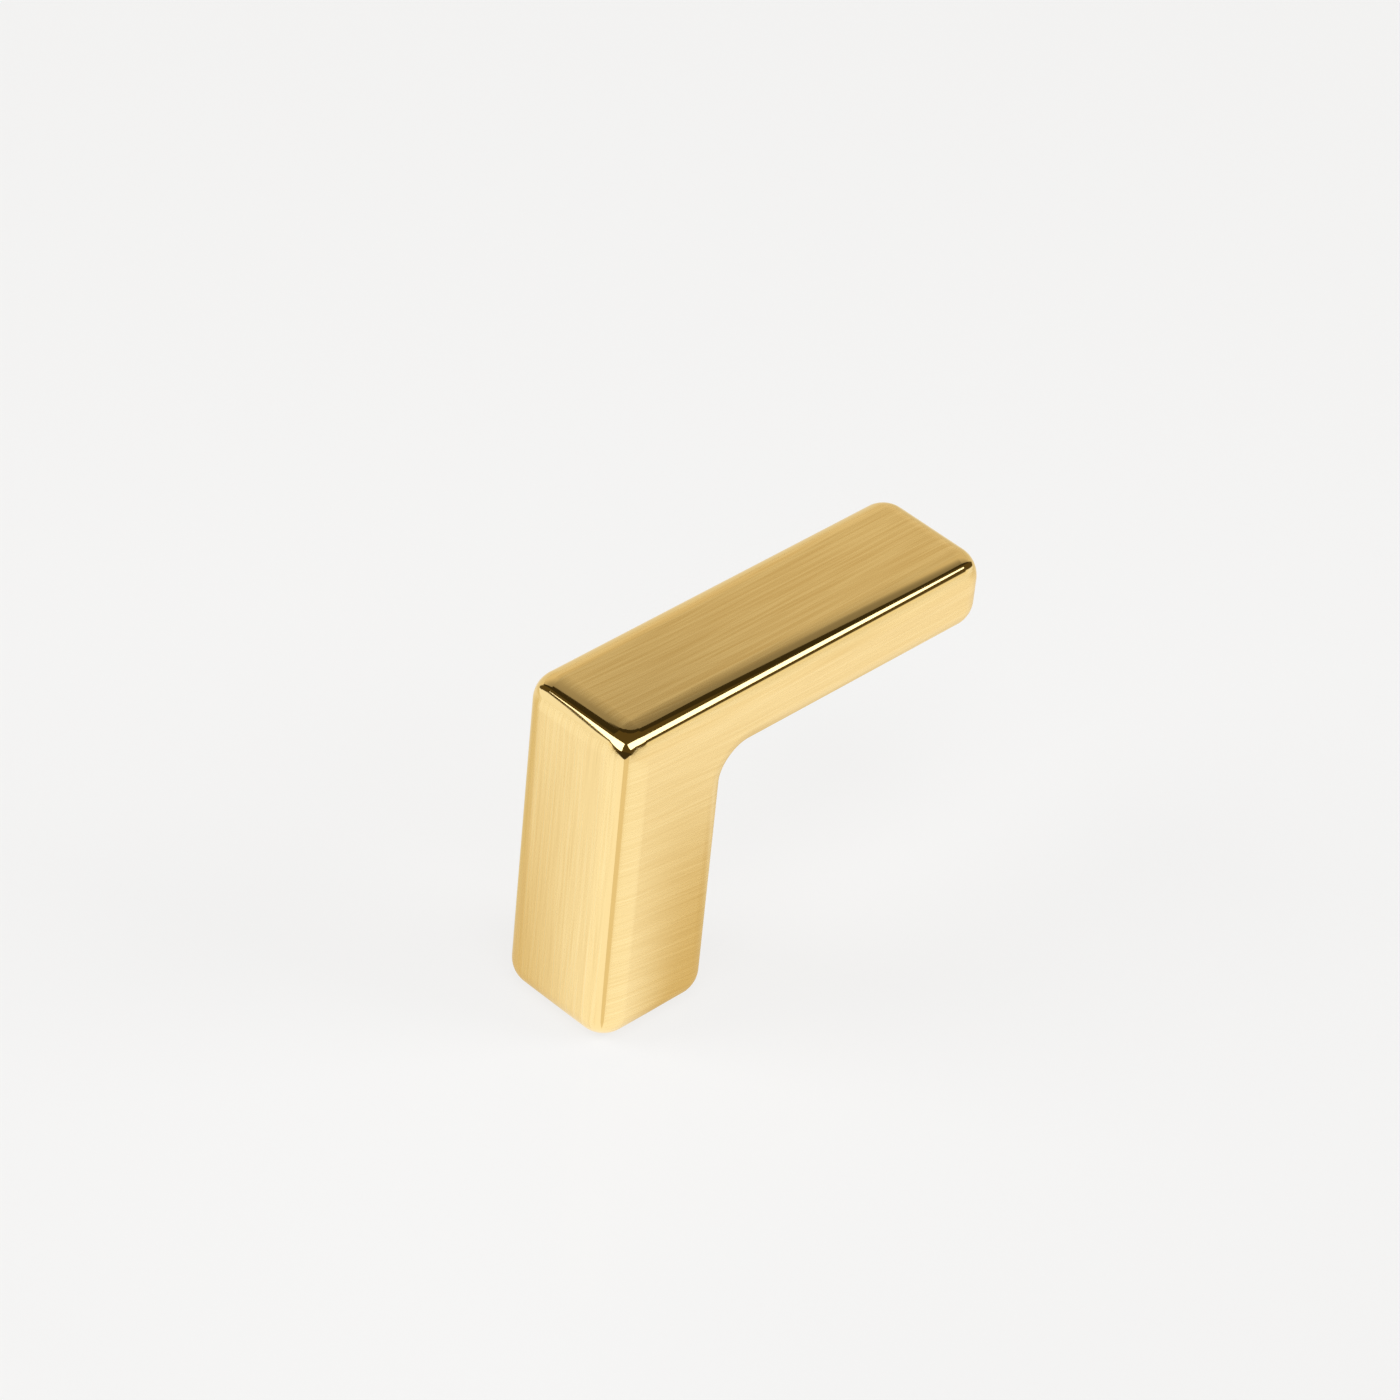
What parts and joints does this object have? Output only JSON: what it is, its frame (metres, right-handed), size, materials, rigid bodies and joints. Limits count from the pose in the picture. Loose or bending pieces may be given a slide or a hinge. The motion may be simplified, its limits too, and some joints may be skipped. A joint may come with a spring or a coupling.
{
  "type": "furniture handle",
  "caption": "L-shaped furniture handle: a square post with a tapped hole in its mounting face carries a thinner arm to the side, with every edge rounded, in brushed brass.",
  "frame": {"origin": "middle of the post's mounting face, on the screw hole's axis", "axes": "+Z away from the cabinet front, +X along the arm to its tip, Y across the handle"},
  "size_m": [0.04, 0.012, 0.031],
  "materials": {
    "brushed_brass": "brushed satin faces with polished rounded edges"
  },
  "bodies": {
    "root": {"handle": "brushed_brass"}
  },
  "joints": []
}
